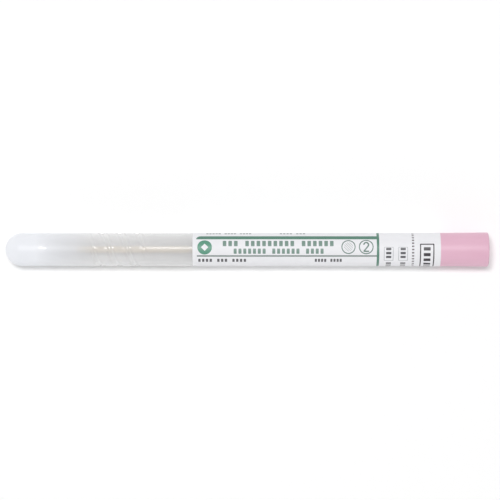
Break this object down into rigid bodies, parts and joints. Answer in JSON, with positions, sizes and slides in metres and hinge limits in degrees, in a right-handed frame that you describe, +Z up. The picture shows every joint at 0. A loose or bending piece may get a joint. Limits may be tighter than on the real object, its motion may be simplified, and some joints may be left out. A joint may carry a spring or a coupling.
{
  "type": "specimen swab tube",
  "caption": "Round-ended translucent transport tube with a push-in cap that carries a wooden cotton-tipped swab, sealed by a wrap-round label.",
  "frame": {"origin": "bottom centre of the bounding box, on the surface that the closed tube lies on", "axes": "+X runs along the tube from its round end to the cap, +Z is up, and the printed front of the label faces +Z with its lines of print reading along +X"},
  "size_m": [0.178, 0.0124, 0.0125],
  "materials": {
    "milky_plastic": "natural translucent polypropylene, satin moulded surface",
    "pink_plastic": "pale pink polyethylene, satin moulded surface",
    "birch": "bare birch dowel, fine straight grain",
    "cotton": "white wound cotton fibre",
    "label_paper": null,
    "seal_paper": "white coated label, printed with a dark outlined box"
  },
  "bodies": {
    "tube": {"tube": "milky_plastic", "label": "label_paper"},
    "cap": {"cap": "pink_plastic", "seal_band": "seal_paper", "swab_stick": "birch", "cotton_bud": "cotton"}
  },
  "joints": [
    {"name": "cap_pull", "type": "slide", "parent": "tube", "child": "cap", "axis": [1, 0, 0], "range_m": [0, 0.15]}
  ]
}
